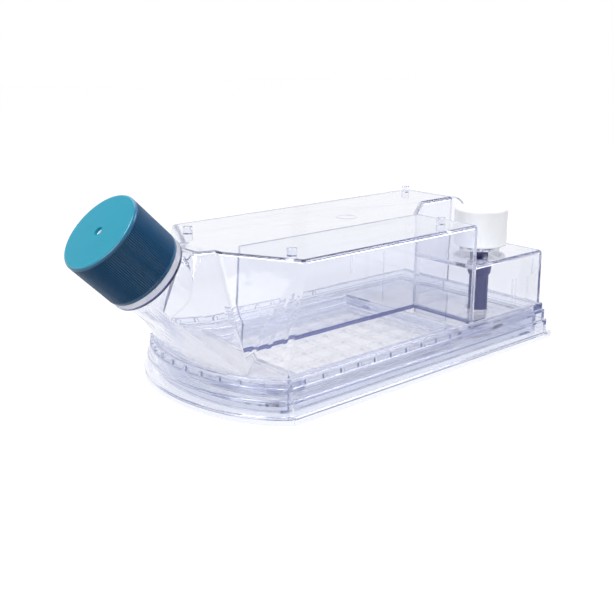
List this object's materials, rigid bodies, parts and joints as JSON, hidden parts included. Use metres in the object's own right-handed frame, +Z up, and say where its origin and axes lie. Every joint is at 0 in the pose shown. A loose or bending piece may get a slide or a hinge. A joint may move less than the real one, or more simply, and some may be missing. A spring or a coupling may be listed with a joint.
{
  "type": "cell culture flask",
  "caption": "Clear cell culture flask on a stepped base: tilted neck with a screw cap, a membrane chamber in the base, and a capped access port with a tube at the rear.",
  "frame": {"origin": "centre of the bounding box's bottom face, on the surface that the base stands on", "axes": "+X from the neck to the rear, +Y to the side away from the access port, +Z up"},
  "size_m": [0.2668, 0.121, 0.1009],
  "materials": {
    "clear_shell": "clear injection-moulded plastic, polished, faint lavender tint",
    "silicone": "translucent silicone",
    "membrane_film": "translucent whitish film",
    "teal_cap": "satin teal moulding with fine upright ribs",
    "cap_liner": "soft white liner",
    "white_cap": "satin white moulding with fine upright ribs",
    "black_tube": "smooth black, slightly glossy"
  },
  "bodies": {
    "flask": {"housing": "clear_shell", "base_frame": "clear_shell", "bottom_grid": "clear_shell", "gas_sheet": "silicone", "cell_spacer": "silicone", "cell_membrane": "membrane_film", "membrane_retainer": "clear_shell", "port_fitting": "clear_shell", "access_tube": "black_tube"},
    "main_liner": {"main_cap_liner": "cap_liner"},
    "main_cap": {"main_cap": "teal_cap"},
    "port_seal": {"port_septum": "silicone"},
    "port_cap": {"port_cap": "white_cap"}
  },
  "joints": [
    {"name": "main_cap_lift", "type": "slide", "parent": "flask", "child": "main_liner", "axis": [-0.7071, 0, 0.7071], "range_m": [0, 0.0063]},
    {"name": "main_cap_turn", "type": "hinge", "parent": "main_liner", "child": "main_cap", "pos_m": [-0.11681, 0, 0.08437], "axis": [-0.7071, 0, 0.7071], "range_deg": [0, 540]},
    {"name": "port_cap_lift", "type": "slide", "parent": "flask", "child": "port_seal", "axis": [0, 0, 1], "range_m": [0, 0.00375]},
    {"name": "port_cap_turn", "type": "hinge", "parent": "port_seal", "child": "port_cap", "pos_m": [0.10436, -0.0275, 0.071], "axis": [0, 0, 1], "range_deg": [0, 450]}
  ],
  "couplings": [
    {"joint": "main_cap_lift", "follows": "main_cap_turn", "m_per_rad": 0.0006684},
    {"joint": "port_cap_lift", "follows": "port_cap_turn", "m_per_rad": 0.0004774}
  ]
}
